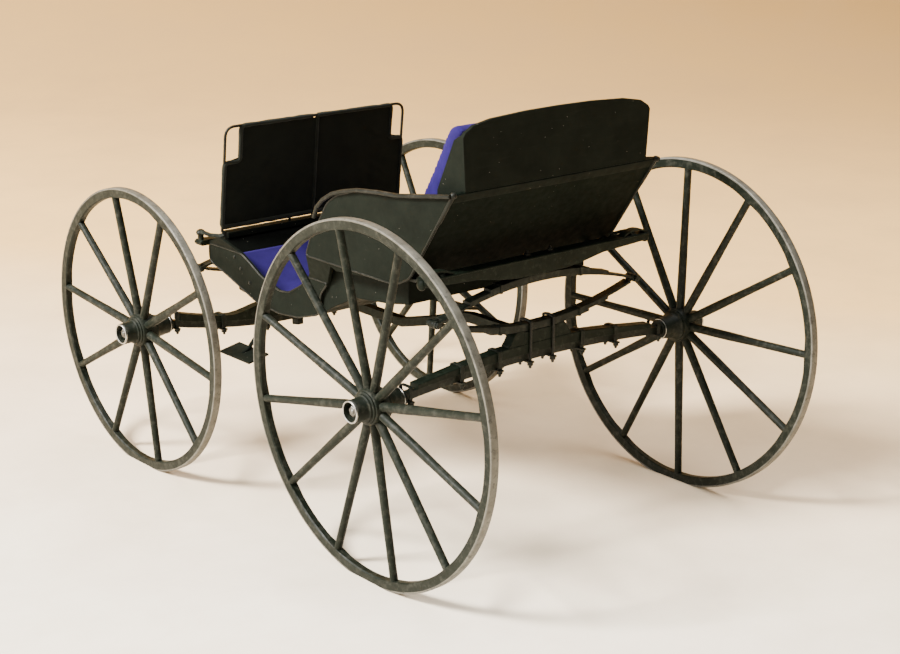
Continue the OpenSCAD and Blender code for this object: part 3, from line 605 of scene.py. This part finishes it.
# Clips on the rear axle, and the two bolts that hold the spring, bent over it, with a plate under each.
rear_clips, ubolts = axle_clips(REAR_Y, False, ((22, 1.9), (41, 1.9), (66, 1.5))), Shape()
BOLT_X, BOLT_R, BOLT_REACH, BOLT_LOW, BOLT_TOP = 6, 0.6, 2.9, 70.6, 88.2
BEND_RISE, PLATE_T = 0.7, 0.7
ARCH_STEPS = (0, 0.1, 0.25, 0.5, 0.75, 0.9, 1)
for side in (-1, 1):
    x, under = side * BOLT_X, bar_low(BOLT_X, False) - PLATE_T
    for y in (-BOLT_REACH, BOLT_REACH):
        ubolts.tube([(x, REAR_Y + y, BOLT_LOW), (x, REAR_Y + y, BOLT_TOP)], BOLT_R, 12, up=(1, 0, 0))
        ubolts.nut(at(x, REAR_Y + y, under, DOWN), 1.3, 1.05, 1.2, 0.3)
    bend = [(x, REAR_Y + BOLT_REACH * (2 * t - 1), BOLT_TOP - 0.1 + BEND_RISE * math.sin(math.pi * t))
            for t in ARCH_STEPS]
    ubolts.tube(bend, BOLT_R, 12, up=(1, 0, 0))
    rear_clips.block((x, REAR_Y, under + PLATE_T / 2), (2.2, 8.2, PLATE_T))
made("rear_axle_clips", rear_clips, iron, "carriage", 0.06)
made("rear_u_bolts", ubolts, rod_paint, "carriage")

# Wooden wedges that carry the foot of the rear spring out along the bed.
wedges = Shape()
for side in (-1, 1):
    rings = []
    for x in np.linspace(8.5, 16.5, 9):
        low = bed_top(x, False) - 0.3
        top = REAR_EYE_Z - REAR_RISE * (1 - (x / SPRING_HALF) ** 2) - 2.2
        top = low + (top - low) * (1 - smooth_step((x - 12.0) / 5.0) * 0.9)
        rings.append([(side * x, REAR_Y + y, z) for y, z in ((-2.3, low), (2.3, low), (2.3, top), (-2.3, top))])
    wedges.loft(rings)
made("spring_wedges", wedges, gear_paint, "carriage", 0.2)

# Clips on the front axle, which steer with it, and the bands round the leaves of both springs.
front_clips = axle_clips(FRONT_Y, True, ((42, 1.9), (66, 1.5), (18.6, 2.2)))
made("front_axle_clips", front_clips, iron, "front_gear", 0.06)

spring_clips = Shape()
for y, eye, rise_mm in ((REAR_Y, REAR_EYE_Z, REAR_RISE), (FRONT_Y, FRONT_EYE_Z, FRONT_RISE)):
    for way in (-1, 1):
        for x in (-21, 21):
            z = rise_mm * (1 - (x / SPRING_HALF) ** 2)
            inside, outside = eye + way * (z - 0.55), eye + way * (z + 2.6)
            loop = ((-2.45, inside), (-2.45, outside), (2.45, outside), (2.45, inside), (-2.45, inside))
            spring_clips.strap([(x, y + b, c) for b, c in loop], 1.1, 0.35)
made("spring_leaf_clips", spring_clips, iron, "carriage", 0.05)

# Rear crossbar: a bead along the upper edge, nuts on top, and turned knobs on the ends.
bar_details, bolts = Shape(), Shape()
BAR_TOP, BAR_END = 113.9, 58.6
KNOB = [(0.01, -0.6), (2.05, -0.6), (2.2, 0.0), (2.1, 0.5), (1.7, 0.9), (1.0, 1.25), (0.01, 1.35)]
for y in (-2.5, 2.5):
    bar_details.tube([(x, REAR_Y + y, BAR_TOP - 0.35) for x in np.linspace(-58.4, 58.4, 25)], 0.42, 8)
for side in (-1, 1):
    hoop = ((44, -0.4), (47, 1.2), (51, 2.1), (55, 1.5), (BAR_END, -0.3))
    bar_details.strap(eased([(side * x, REAR_Y + 0.4, BAR_TOP + z) for x, z in hoop]), 3.4, 0.7, (0, 1, 0))
    bar_details.lathe(KNOB, at(side * BAR_END, REAR_Y, 111.7, outward(side)), 24)
made("crossbar_bead", bar_details, gear_paint, "carriage")
for x in (-51, -6, 6, 51):
    bolts.nut(at(x, REAR_Y, BAR_TOP + 0.2), 1.2, 1.1, 1.0, 0.2)
    bolts.lathe([(0.01, -0.1), (1.7, -0.1), (1.75, 0.2), (1.5, 0.32), (0.01, 0.32)], at(x, REAR_Y, BAR_TOP), 20)
    if abs(x) < 10:
        bolts.nut(at(x, REAR_Y, 104.2, DOWN), 1.0, 0.8, 0.5, 0.5)
made("crossbar_bolts", bolts, rod_paint, "carriage")

# Front crossbar: an eye bolt on each end, and the iron from it back to the dash.
EYE_BOLT = [(0.01, -3.0), (1.5, -3.0), (1.9, -2.6), (1.6, -1.9), (1.3, -1.6), (1.3, 1.0), (1.8, 1.4), (2.1, 2.2),
            (1.7, 3.0), (0.9, 3.5), (0.01, 3.6)]
STAY = ((51.5, 0, 98.6), (51.2, 2, 100.2), (49.6, 5.5, 99.4), (47.2, 9.5, 99.4), (45.4, 12.5, 100.6))
front_irons = Shape()
for side in (-1, 1):
    front_irons.lathe(EYE_BOLT, at(side * 50.6, FRONT_Y, 97.4), 20)
    front_irons.strap([(side * x, FRONT_Y + y, z) for x, y, z in STAY], 1.1, 1.5, (side * 0.9, -0.5, 0))
made("front_bar_irons", front_irons, iron, "carriage", 0.06)

# ---- body ------------------------------------------------------------------------------------

paint(["side_panel_left", "side_panel_right", "floor", "seat_box", "seat_board", "backrest"], body_paint, 0.22)
paint(["seat_rear_panel"], rear_shade_paint, 0.22)
paint(["arm_rails"], rod_paint, 0.0)
paint(["step_left", "step_right"], body_paint, 0.15)
paint(["toe_board"], toe_shade_paint, 0.2)


def rim_loops(node, side, plane=None):
    """The outline of the outer face of a side panel, or of its face at a given x, as closed loops of points."""
    o = NODES[node]
    pts = [o.matrix_world @ v.co / MM for v in o.data.vertices]
    far = plane or max(side * p.x for p in pts)
    count = {}
    for f in o.data.polygons:
        if all(abs(far - side * pts[i].x) < 0.02 for i in f.vertices):
            keys = [(round(pts[i].y, 2), round(pts[i].z, 2)) for i in f.vertices]
            for pair in zip(keys, keys[1:] + keys[:1]):
                if pair[0] != pair[1]:
                    count[frozenset(pair)] = count.get(frozenset(pair), 0) + 1
    near = {}
    for a, b in (sorted(k) for k, c in count.items() if c == 1):
        near.setdefault(a, []).append(b)
        near.setdefault(b, []).append(a)
    loops, seen = [], set()
    for first in sorted(near):
        loop, spot = [], first
        while spot is not None and spot not in seen:
            seen.add(spot)
            loop.append(Vector((side * far, *spot)))
            spot = next((q for q in near[spot] if q not in seen), None)
        if len(loop) > 3:
            loops.append(loop)
    return loops


# A bead round the edge of each side panel, and a screw head here and there.
for side, word in ((1, "left"), (-1, "right")):
    bead, screws = Shape(), Shape()
    for loop in rim_loops("side_panel_" + word, side) + rim_loops("side_panel_" + word, side, BODY_HALF):
        bead.tube(eased(loop, 2.0, True), 0.38, 8, 0.7, (1, 0, 0), True)
    for y, z in ((-62.0, 92.6), (-57.5, 88.4), (-51.0, 83.5)):
        screws.dome(at(side * BODY_HALF, y, z, outward(side)), 0.8, 0.45)
    made("panel_bead_" + word, bead, rod_paint, "carriage", smooth=60)
    made("panel_screws_" + word, screws, rod_paint, "carriage")

# The strip along the top of the rear panel, and the irons down its side edges from a knob at each corner.
PANEL_TOP, PANEL_FOOT = Vector((0, REAR_Y + PANEL_BACK, RAIL_Z)), Vector((0, REAR_Y - 14, SEAT_Z))
panel_way = (PANEL_FOOT - PANEL_TOP).normalized()
panel_out = Vector((0, -panel_way.z, panel_way.y))


def on_panel(x, down, out):
    """A point on the rear panel: x across, a distance down from its top edge, and out from its face."""
    return PANEL_TOP + Vector((x, 0, 0)) + panel_way * down + panel_out * out


STRIP = ((0.2, -0.3), (0.25, 0.3), (0.7, 0.42), (3.8, 0.42), (4.3, 0.25), (4.4, -0.3))
strip_half = SEAT_HALF - 1.6
trim = Shape().loft([[on_panel(x, down, out) for down, out in STRIP]
                     for x in np.linspace(-strip_half, strip_half, 9)])
made("rear_panel_strip", trim, body_paint, "carriage", smooth=30)
irons = Shape()
for side in (-1, 1):
    x, y = side * (SEAT_HALF - 0.6), REAR_Y + PANEL_BACK - 0.1
    irons.tube([on_panel(x, d, 0.25) for d in (-0.2, 2, 6, 10, 14, 15)], [0.9, 0.85, 0.8, 0.8, 0.75, 0.4], 10, 0.7,
               panel_out)
    irons.tube([on_panel(x, d, 0.1) for d in (14, 20, 30, 42.5)], 0.45, 8, 0.8, panel_out)
    irons.dome(at(x, y, RAIL_Z - 0.5), 1.35, 1.5)
    irons.dome(at(x, y, RAIL_Z - 0.4, DOWN), 1.35, 1.0)
made("corner_irons", irons, rod_paint, "carriage", smooth=60)

# ---- cloth and cushions ----------------------------------------------------------------------


def grid(rows):
    """A sheet of faces through rows of points."""
    n, m = len(rows), len(rows[0])
    faces = [[i * m + k, i * m + k + 1, (i + 1) * m + k + 1, (i + 1) * m + k]
             for i in range(n - 1) for k in range(m - 1)]
    return Shape().add([p for row in rows for p in row], faces)


def sheet(name, rows, mat, thick):
    """A sheet of cloth from rows of points in millimetres, given its thickness."""
    o = made(name, grid(rows), mat, "carriage", smooth=80)
    t = o.modifiers.new("thickness", "SOLIDIFY")
    t.thickness = thick * MM
    t.offset = 0
    return o


# Dash: two panels of black cloth stretched between the rods.
DASH_Y, DASH_Z, LEAN = FRONT_Y + 12.7, 102.6, math.radians(6)
DASH = at(0, DASH_Y, DASH_Z, Matrix.Rotation(-LEAN, 4, "X"))
WIRE_X, WIRE_TOP, GRIP_Z, ROLL_Z = 47.9, 45.3, 29.7, 1.2
GRIP_X = {1: 40.0, -1: 41.0}
DASH_FLAT, DASH_T = (47.5, 44.1), 0.4
WIRE_R, WIRE_FOOT = 0.62, -1.0


def on_dash(side, path):
    """Points given as x from the middle, y and z on the leaning dash."""
    return [DASH @ Vector((side * x, y, z)) for x, y, z in path]


def dash_panel(side):
    """Rows of points over one half of the dash, narrower above the grip, with soft folds."""
    rows, up, over = [], 60, 48
    for i in range(up + 1):
        v = i / up
        z = ROLL_Z + v * (WIRE_TOP - ROLL_Z)
        edge = WIRE_X - (WIRE_X - GRIP_X[side]) * smooth_step((z - GRIP_Z) / 2.0)
        row = []
        for k in range(over + 1):
            u = k / over
            x = 0.2 + u * (edge - 0.2)
            pull = math.sin(math.pi * u) * math.sin(math.pi * v)
            y = 1.1 * noise.noise(Vector((side * x / 17 + 3, z / 12, 0.3))) * pull
            fold = (z - GRIP_Z) * 0.8 + (x - edge) * 0.5
            y += 0.45 * noise.noise(Vector((fold / 2.2, side * 3.0, 4))) * pull * smooth_step((u - 0.35) * 2)
            y += 0.5 * noise.noise(Vector((side * x / 5, z / 22 + x / 40, 4))) * pull * smooth_step((0.55 - v) * 2)
            sag = 0.9 * smooth_step((v - 0.94) * 16) * math.exp(-((x - 1.6) / 0.8) ** 2) if side == 1 else 0
            row.append(DASH @ Vector((side * x, y, z - 1.6 * sag)))
        rows.append(row)
    return rows


for side, word in ((1, "left"), (-1, "right")):
    panel = sheet("dash_panel_" + word, dash_panel(side), black_cloth, DASH_T)
    if side == 1:
        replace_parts(panel, "dash_cloth")

# The rail at the head of the toe board.
RAIL_SECTION = ((1.9, -3.5), (2.35, -3.4), (2.4, -1.25), (2.2, -0.95), (-2.3, -0.9), (-2.3, -1.1), (1.9, -1.1))
rail = Shape().loft([[(x, DASH_Y + y, DASH_Z + z) for y, z in RAIL_SECTION] for x in np.linspace(-46.4, 46.4, 12)])
made("toe_rail", rail, body_paint, "carriage", smooth=30)

# The thin irons, bare round the grips, and the rolled edge of the cloth over them everywhere else.
wires, rolled = Shape(), Shape()
for side in (1, -1):
    g, start = GRIP_X[side], 2.6 if side == 1 else 0.2
    hoop = eased([(0, 0, WIRE_TOP), (WIRE_X, 0, WIRE_TOP), (WIRE_X, 0, WIRE_FOOT)], 4.6)
    wires.tube(on_dash(side, hoop), WIRE_R, 10, up=(0, 1, 0))
    wires.tube(on_dash(side, [(12.5, 0, WIRE_FOOT), (12.5, 0, 1.0)]), 0.6, 10, up=(0, 1, 0))
    edge = eased([(start, 0, WIRE_TOP), (g, 0, WIRE_TOP - 0.1), (g, 0, GRIP_Z), (WIRE_X, 0, GRIP_Z),
                  (WIRE_X + 0.2, 0, ROLL_Z), (0.2, 0, ROLL_Z)], 2.0, step=0.4)
    radii = [0.95 + 0.2 * smooth_step((6 - p.z) / 5) + 0.22 * noise.noise(Vector((p.x / 4, p.z / 4, side)))
             for p in edge]
    rolled.tube(on_dash(side, edge), radii, 12, up=(0, 1, 0))
post = [(0.12 * noise.noise(Vector((0, 0, z / 5))), 0, z) for z in np.linspace(-0.4, WIRE_TOP, 40)]
radii = [0.8 + 0.12 * noise.noise(Vector((3, 0, z / 2))) for x, y, z in post]
rolled.tube(on_dash(1, post), radii, 12, up=(0, 1, 0))
wires.tube(on_dash(1, [(0, 0, WIRE_FOOT), (0, 0, 1.0)]), WIRE_R, 10, up=(0, 1, 0))
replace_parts(made("dash_rods", wires, rod_paint, "carriage", smooth=60), "dash_frame")
# The rolls wear the lighter copy of the black cloth, a painted highlight.
made("dash_binding", rolled, lit_edge_cloth, "carriage", smooth=80)

# Floor cloth, from the foot of the seat up the toe board.
TOE_FOOT, TOE_HEAD = Vector((FRONT_Y + 36, 79.4)), Vector((DASH_Y + 1, DASH_Z - 3.4))
CLOTH_HALF, CLOTH_T = 45.3, 0.7
slope = TOE_HEAD - TOE_FOOT
run = [TOE_FOOT + 0.7 * slope + Vector((0.8, 0.2)), TOE_FOOT + 0.08 * slope + Vector((0.8, 0.15)),
       Vector((FRONT_Y + 39, 78.5)), Vector((FRONT_Y + 53.3, 77.45)), Vector((REAR_Y - 91.7, 78.85)),
       Vector((REAR_Y - 79.4, 82.5))]
lengths = [0.0]
for a, b in zip(run, run[1:]):
    lengths.append(lengths[-1] + (b - a).length)


def along(share):
    """The point (y, z) at a share of the floor cloth's length."""
    d = lengths[-1] * min(1, max(0, share))
    i = next((i for i in range(len(run) - 1) if d <= lengths[i + 1]), len(run) - 2)
    return run[i].lerp(run[i + 1], (d - lengths[i]) / (lengths[i + 1] - lengths[i]))


def floor_cloth_rows(rows=70, columns=60):
    out = []
    for i in range(rows + 1):
        p, q = along(i / rows), along((i + 1) / rows) - along((i - 1) / rows)
        up = Vector((-q.y, q.x)).normalized()
        if up.y < 0:
            up = -up
        row = []
        for k in range(columns + 1):
            x = CLOTH_HALF * (2 * k / columns - 1)
            d = 0.16 * noise.noise(Vector((x / 11, i / 9, 2))) + 0.08 * noise.noise(Vector((x / 3, i / 3, 7)))
            row.append(Vector((x, p.x + up.x * d, p.y + up.y * d)))
        out.append(row)
    return out


carpet = sheet("floor_cloth", floor_cloth_rows(), blue_cloth, CLOTH_T)
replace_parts(carpet, "carpet")


# Cushions.


def applied(o):
    """The mesh that an object's modifiers make, which are then removed."""
    dg = bpy.context.evaluated_depsgraph_get()
    mesh = bpy.data.meshes.new_from_object(o.evaluated_get(dg))
    o.modifiers.clear()
    return mesh


def rounded_form(name, outline, half, scale, voxel):
    """A plain form of one section (y, z) along X, scaled about its middle and remeshed, and that middle."""
    n = len(outline)
    middle = Vector((0, sum(p[0] for p in outline) / n, sum(p[1] for p in outline) / n))
    start = Shape().loft([[Vector((x, y, z)) for y, z in outline] for x in np.linspace(-half, half, 9)])
    mesh = bpy.data.meshes.new(name)
    mesh.from_pydata([(p - middle) * scale for p in start.points], [], start.faces)
    o = bpy.data.objects.new(name, mesh)
    scene.collection.objects.link(o)
    bm = bmesh.new()
    bm.from_mesh(mesh)
    bmesh.ops.recalc_face_normals(bm, faces=bm.faces)
    bm.to_mesh(mesh)
    bm.free()
    m = o.modifiers.new("remesh", "REMESH")
    m.mode = "VOXEL"
    m.voxel_size = voxel
    o.data = applied(o)
    return o, middle


def coordinates(mesh):
    return np.array([v.co for v in mesh.vertices], float)


def fill_with_pressure(o, cap):
    """Blows a closed cloth up, and holds each point within cap of where it was."""
    c = o.modifiers.new("cloth", "CLOTH")
    c.settings.quality = 6
    c.settings.mass = 0.3
    c.settings.use_pressure = True
    c.settings.uniform_pressure_force = 4
    c.settings.effector_weights.gravity = 0
    c.settings.tension_stiffness = 12
    c.settings.compression_stiffness = 12
    c.settings.bending_stiffness = 0.3
    for f in range(1, 21):
        scene.frame_set(f)
    blown = applied(o)
    scene.frame_set(1)
    plain = coordinates(o.data)
    move = coordinates(blown) - plain
    size = np.linalg.norm(move, axis=1, keepdims=True)
    o.data = blown
    return plain + move * np.minimum(1, cap / np.maximum(size, 1e-9))


def cushion(name, replaced, outline, half, cap, low, high, welts=()):
    """A stuffed cushion: its plain form is filled as cloth, eight times its size, and shrunk back.

    low and high are the corners of the space that it keeps to. A cord is sewn on along each of the welts, which are
    loops of points beside it.
    """
    scale, inset = 8 * MM, 0.6
    o, middle = rounded_form(name, outline, half - inset, scale, 0.011)
    points = fill_with_pressure(o, cap * scale)
    points = np.clip(points / scale + np.array(middle), low, high)
    mesh = o.data
    mesh.vertices.foreach_set("co", (points * MM).ravel())
    mesh.update()
    mesh.shade_smooth()
    mesh.materials.clear()
    mesh.materials.append(blue_cloth)
    if welts:
        tree = BVHTree.FromPolygons([Vector(p) for p in points], [list(p.vertices) for p in mesh.polygons])
        cord = Shape()
        for loop in welts:
            path = np.array([list(tree.find_nearest(Vector(p))[0]) for p in loop])
            cord.tube(np.clip(path, low, high), 0.42, 8, up=(0.1, 0.2, 1), closed=True)
        made(name + "_welt", cord, blue_cloth, "carriage", smooth=80)
    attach(o, "carriage")
    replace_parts(o, replaced)


def rounded_loop(half, y0, y1, z, corner=3.0, n=160):
    """A rounded rectangle of points at even steps, x across and y along, at a height z."""
    w, d = half - corner, (y1 - y0) / 2 - corner
    quarter = math.pi * corner / 2
    points = []
    for i in range(n):
        s, turns = i * (4 * w + 4 * d + 4 * quarter) / n, 0
        far, deep = w, d
        while s > 2 * far + quarter:
            s -= 2 * far + quarter
            turns += 1
            far, deep = deep, far
        if s <= 2 * far:
            spot = Vector((s - far, -deep - corner))
        else:
            a = (s - 2 * far) / corner - math.pi / 2
            spot = Vector((far + corner * math.cos(a), -deep + corner * math.sin(a)))
        spot = Matrix.Rotation(turns * math.pi / 2, 2) @ spot
        points.append((spot.x, (y0 + y1) / 2 + spot.y, z))
    return points


SEAT_LOW = SEAT_Z + 1.8
TOP_Z = RAIL_Z + 22.5
BACK_Y = REAR_Y + PANEL_BACK
PAD_HALF, PAD_FRONT, PAD_BACK = 50.2, 9.4, 57.4
FREE = 1000.0

SEAT_OUTLINE = [(11.2, SEAT_LOW + 0.4), (56.4, SEAT_LOW + 0.4), (57.6, SEAT_LOW + 4.5), (56.2, SEAT_LOW + 8.4),
                (11.4, SEAT_LOW + 8.4), (9.6, SEAT_LOW + 4.5)]
cushion("seat_pad", "seat_cushion", SEAT_OUTLINE, 50.3, 1.6,
        (-50.4, 8.4, SEAT_LOW), (50.4, 58.3, SEAT_LOW + 10.9),
        [rounded_loop(PAD_HALF, PAD_FRONT, PAD_BACK, SEAT_LOW + up) for up in (8.6, 1.2)])

BACK_OUTLINE = [
    (REAR_Y - 9.8, SEAT_LOW + 12.2), (BACK_Y - 17.4, RAIL_Z - 1.6), (BACK_Y - 7.0, TOP_Z - 3.6),
    (BACK_Y - 3.0, TOP_Z - 0.8), (BACK_Y - 3.7, TOP_Z + 0.7), (BACK_Y - 6.0, TOP_Z + 1.5),
    (BACK_Y - 8.8, TOP_Z + 1.0), (BACK_Y - 11.2, TOP_Z - 0.9), (BACK_Y - 13.4, TOP_Z - 4.4),
    (BACK_Y - 27.2, RAIL_Z - 6.2),
    (REAR_Y - 19.6, SEAT_LOW + 15.6), (REAR_Y - 19.2, SEAT_LOW + 13.2), (REAR_Y - 17.0, SEAT_LOW + 12.3)]
cushion("back_pad", "back_cushion", BACK_OUTLINE, 46.4, 1.3,
        (-46.7, -FREE, SEAT_LOW + 11.4), (46.7, FREE, TOP_Z + 1.7))

# ---- floor, backdrop and light ---------------------------------------------------------------

# A pale sheet that lies flat under the model and curves up behind it, painted darker and warmer towards the back and
# towards the camera's right: partly its own warm tone, partly painted shade.
back_way = Vector((look.x, look.y, 0)).normalized()
across = Vector((level.x, level.y, 0)).normalized()
SWEEP_HALF = 2.2
SWEEP = [(-1.6, 0), (0.75, 0), (0.95, 0.02), (1.15, 0.09), (1.3, 0.2), (1.42, 0.36), (1.5, 0.6), (1.55, 1.0),
         (1.6, 2.4)]
sweep = grid([[(back_way * d + across * s + Vector((0, 0, h))) / MM for s in np.linspace(-SWEEP_HALF, SWEEP_HALF, 13)]
              for d, h in SWEEP])
mesh = bpy.data.meshes.new("backdrop")
mesh.from_pydata([p * MM for p in sweep.points], [], sweep.faces)
mesh.shade_smooth()
backdrop = bpy.data.objects.new("backdrop", mesh)
scene.collection.objects.link(backdrop)
sub = backdrop.modifiers.new("smooth", "SUBSURF")
sub.levels = sub.render_levels = 2
paper = Finish("backdrop_paper", roughness=0.85, specular=0.2)
# Painted shade: the paper turns from cream to tan, then dark brown, with distance back and towards the camera's
# right, where less light falls; the tan is partly the paper's own warm tone.
deep = paper.times(paper.dot(paper.coord, back_way), paper.times(paper.dot(paper.coord, across), 0.25), "ADD")
tone = paper.mix(paper.ramp(deep, -0.15, 0.32), (0.97, 0.86, 0.7), (0.86, 0.54, 0.2))
tone = paper.mix(paper.ramp(deep, 0.35, 1.3), tone, (0.33, 0.18, 0.05))
tone = paper.mix(paper.ramp(paper.noise(90, 6, 0.65), 0.4, 0.7, 0, 0.22), tone, (0.4, 0.25, 0.12))
paper.colour(tone)
mesh.materials.append(paper.mat)


def lamp(name, spot, target, size, power, colour):
    """A soft rectangular light that faces a target. Places and sizes are in metres."""
    data = bpy.data.lights.new(name, "AREA")
    data.shape = "RECTANGLE"
    data.size, data.size_y = size
    data.energy = power
    data.color = colour
    o = bpy.data.objects.new(name, data)
    o.location = spot
    o.rotation_mode = "QUATERNION"
    o.rotation_quaternion = (Vector(target) - Vector(spot)).to_track_quat("-Z", "Y")
    scene.collection.objects.link(o)


lamp("key", (1.75, -0.45, 1.75), (0, 0, 0.05), (0.6, 0.6), 250, (1, 0.98, 0.94))
lamp("left", (1.7, -0.7, 0.55), (0, 0, 0.08), (1.0, 0.7), 34, (1, 0.98, 0.96))
lamp("top", (-0.3, 0.2, 2.2), (0, 0, 0), (1.8, 1.8), 50, (1, 0.99, 0.97))
world = bpy.data.worlds.new("room")
scene.world = world
world.use_nodes = True
world.node_tree.nodes["Background"].inputs[0].default_value = (0.95, 1.0, 0.97, 1)
world.node_tree.nodes["Background"].inputs[1].default_value = 0.18
